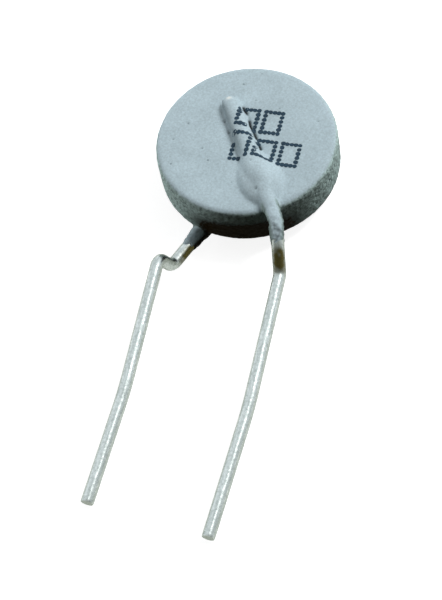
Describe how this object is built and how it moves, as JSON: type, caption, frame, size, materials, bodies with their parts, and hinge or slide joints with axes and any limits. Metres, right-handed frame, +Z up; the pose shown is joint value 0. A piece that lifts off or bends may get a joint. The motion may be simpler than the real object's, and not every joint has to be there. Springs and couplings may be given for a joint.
{
  "type": "ptc thermistor",
  "caption": "Leaded PTC thermistor: flat lacquered ceramic disc with formed, tinned wire leads, for overload protection on a circuit board.",
  "frame": {"origin": "on the resting plane, under the middle of the bounding box", "axes": "+Z up, along the disc's axis and out of its front face; +Y from the lead tips towards the disc; +X to the right, seen from above with the leads towards the viewer"},
  "size_m": [0.0085, 0.0234, 0.0036],
  "materials": {
    "grey_lacquer": "matte powdery grey lacquer",
    "ptc_ceramic": "sintered, dull",
    "electrode_metal": "thin fired metal layer",
    "solder": "satin solder",
    "tinned_wire": "bright tinned, slightly mottled",
    "marking_ink": "flat printed ink"
  },
  "bodies": {
    "root": {"coating": "grey_lacquer", "ceramic_disc": "ptc_ceramic", "front_electrode": "electrode_metal", "rear_electrode": "electrode_metal", "front_solder": "solder", "rear_solder": "solder", "front_lead": "tinned_wire", "rear_lead": "tinned_wire"}
  },
  "joints": []
}
